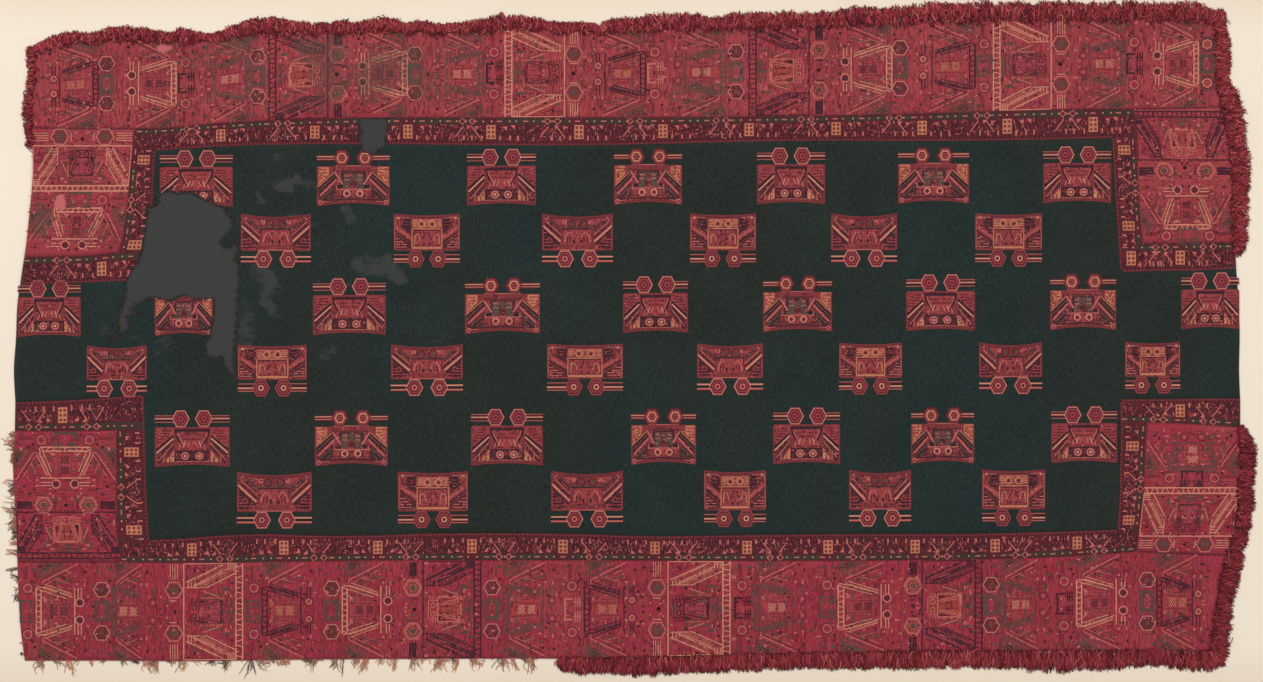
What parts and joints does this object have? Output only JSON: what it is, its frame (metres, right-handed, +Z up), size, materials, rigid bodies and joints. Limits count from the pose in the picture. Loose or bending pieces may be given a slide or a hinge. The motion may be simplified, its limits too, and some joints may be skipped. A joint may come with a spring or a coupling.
{
  "type": "fringed wool mantle",
  "caption": "Large oblong wool mantle laid flat, face up: a dark field with figured blocks, a narrow inner band, a wide red border with returns at the ends, and a red fringe",
  "frame": {"origin": "middle of the whole cloth with its fringe, on the surface that it lies on", "axes": "X along the mantle's length with +X to the right of the picture, Y across it with +Y towards the picture's top, Z up out of the face"},
  "size_m": [2.5055, 1.3525, 0.0055],
  "materials": {
    "field_wool": "dark blue-green plain-woven wool",
    "border_wool": "red stem-stitched wool",
    "band_wool": "dark red stem-stitched wool",
    "support_cotton": "dark grey support cloth",
    "patch_cotton": "pink infill cloth",
    "fringe_wool": "dark red wool fringe",
    "ends_wool": "worn loose warp ends"
  },
  "bodies": {
    "root": {"field": "field_wool", "band_upper_left": "band_wool", "band_upper_right": "band_wool", "band_lower": "band_wool", "border_top": "border_wool", "border_bottom": "border_wool", "return_left_upper": "border_wool", "return_right_upper": "border_wool", "return_left_lower": "border_wool", "return_right_lower": "border_wool", "support_cloth": "support_cotton", "pink_patch_top": "patch_cotton", "pink_patch_left": "patch_cotton", "fringe_top": "fringe_wool", "fringe_left_upper": "fringe_wool", "fringe_right_upper": "fringe_wool", "fringe_right_lower": "fringe_wool", "fringe_bottom": "fringe_wool", "fringe_ends_bottom": "ends_wool", "fringe_ends_left": "ends_wool"}
  },
  "joints": []
}
